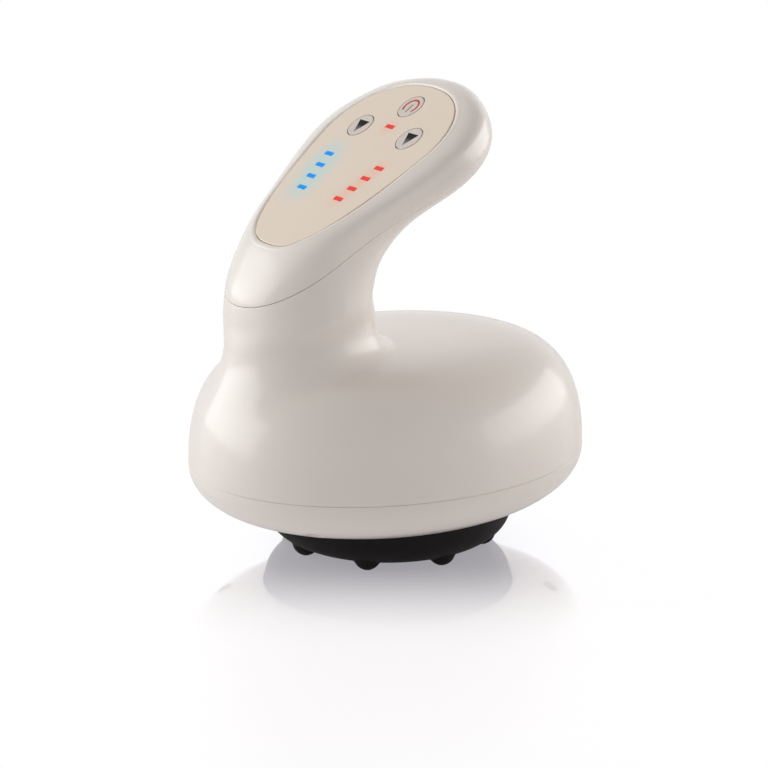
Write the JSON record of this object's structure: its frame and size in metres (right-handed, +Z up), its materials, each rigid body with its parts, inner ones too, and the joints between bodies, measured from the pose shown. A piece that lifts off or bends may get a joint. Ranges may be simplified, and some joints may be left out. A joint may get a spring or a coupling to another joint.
{
  "type": "body massage tool",
  "caption": "Handheld body massager: oval housing, raised handle with a tilted key panel, and a round nubbed suction head with pump, heater and cell inside.",
  "frame": {"origin": "on the floor under the head's axis, where the nubs rest", "axes": "+Z up along the head's axis, +X from the neck towards the handle's tip, so the heat key lies on -Y and the suction key on +Y"},
  "size_m": [0.116, 0.095, 0.1284],
  "materials": {
    "gloss_white": "warm white, high gloss, moulded",
    "black_silicone": "matt black silicone rubber",
    "pearl_panel": "pearl beige, gloss, lit from behind",
    "key_grey": "light grey, satin gloss",
    "blue_light": "clear light guide, lit blue",
    "red_light": "clear light guide, lit red",
    "circuit_board": "green board with solder mask",
    "dark_plastic": "black moulded plastic",
    "steel": "plain zinc-plated steel",
    "clear_silicone": "clear silicone rubber",
    "foam": "open-cell grey foam",
    "heater_film": "amber film with copper tracks",
    "cell_wrap": "blue heat-shrink wrap",
    "nylon": "natural nylon",
    "stem_white": "white plastic",
    "lead_red": "red insulated wire"
  },
  "bodies": {
    "housing": {"base_cover": "gloss_white", "battery_cell": "cell_wrap", "battery_holder": "dark_plastic", "battery_lead": "lead_red", "board_screw_1": "steel", "board_screw_2": "steel", "board_screw_3": "steel", "body_shell": "gloss_white", "case_screw_1": "steel", "case_screw_2": "steel", "case_screw_3": "steel", "case_screw_4": "steel", "charging_socket": "steel", "control_board": "circuit_board", "control_panel": "pearl_panel", "filter_cap": "black_silicone", "filter_foam": "foam", "handle_cover": "gloss_white", "handle_screw_1": "steel", "handle_screw_2": "steel", "head_screw_1": "steel", "head_screw_2": "steel", "head_screw_3": "steel", "head_screw_4": "steel", "heat_light_guide": "red_light", "heat_switch": "dark_plastic", "heater_lead": "lead_red", "heater_ring": "heater_film", "hose_tee": "dark_plastic", "massage_head": "black_silicone", "panel_cable": "dark_plastic", "port_seal": "clear_silicone", "power_board": "circuit_board", "power_board_screw_1": "steel", "power_board_screw_2": "steel", "power_light_guide": "red_light", "power_switch": "dark_plastic", "pump_cover": "dark_plastic", "pump_cradle": "dark_plastic", "pump_diaphragm": "black_silicone", "pump_hose": "clear_silicone", "pump_housing": "dark_plastic", "pump_motor": "steel", "suction_light_guide": "blue_light", "suction_switch": "dark_plastic", "thermistor": "dark_plastic", "valve_body": "dark_plastic", "valve_hose": "clear_silicone"},
    "suction_key_body": {"suction_key": "key_grey", "suction_switch_stem": "stem_white"},
    "heat_key_body": {"heat_key": "key_grey", "heat_switch_stem": "stem_white"},
    "power_key_body": {"power_key": "key_grey", "power_switch_stem": "stem_white"},
    "pump_rotor": {"motor_shaft": "steel", "pump_eccentric": "nylon"},
    "valve_plunger_body": {"valve_plunger": "steel"}
  },
  "joints": [
    {"name": "suction_key_press", "type": "slide", "parent": "housing", "child": "suction_key_body", "axis": [0.5738, 0, -0.819], "range_m": [0, 0.0005], "stiffness_N_per_m": 300, "springref_m": -0.002},
    {"name": "heat_key_press", "type": "slide", "parent": "housing", "child": "heat_key_body", "axis": [0.5738, 0, -0.819], "range_m": [0, 0.0005], "stiffness_N_per_m": 300, "springref_m": -0.002},
    {"name": "power_key_press", "type": "slide", "parent": "housing", "child": "power_key_body", "axis": [0.5738, 0, -0.819], "range_m": [0, 0.0005], "stiffness_N_per_m": 300, "springref_m": -0.002},
    {"name": "pump_rotor_spin", "type": "hinge", "parent": "housing", "child": "pump_rotor", "pos_m": [0.016, 0, 0.0358], "axis": [0, 1, 0], "continuous": true},
    {"name": "valve_plunger_slide", "type": "slide", "parent": "housing", "child": "valve_plunger_body", "axis": [0, -1, 0], "range_m": [0, 0.0015], "stiffness_N_per_m": 150, "springref_m": -0.002}
  ]
}
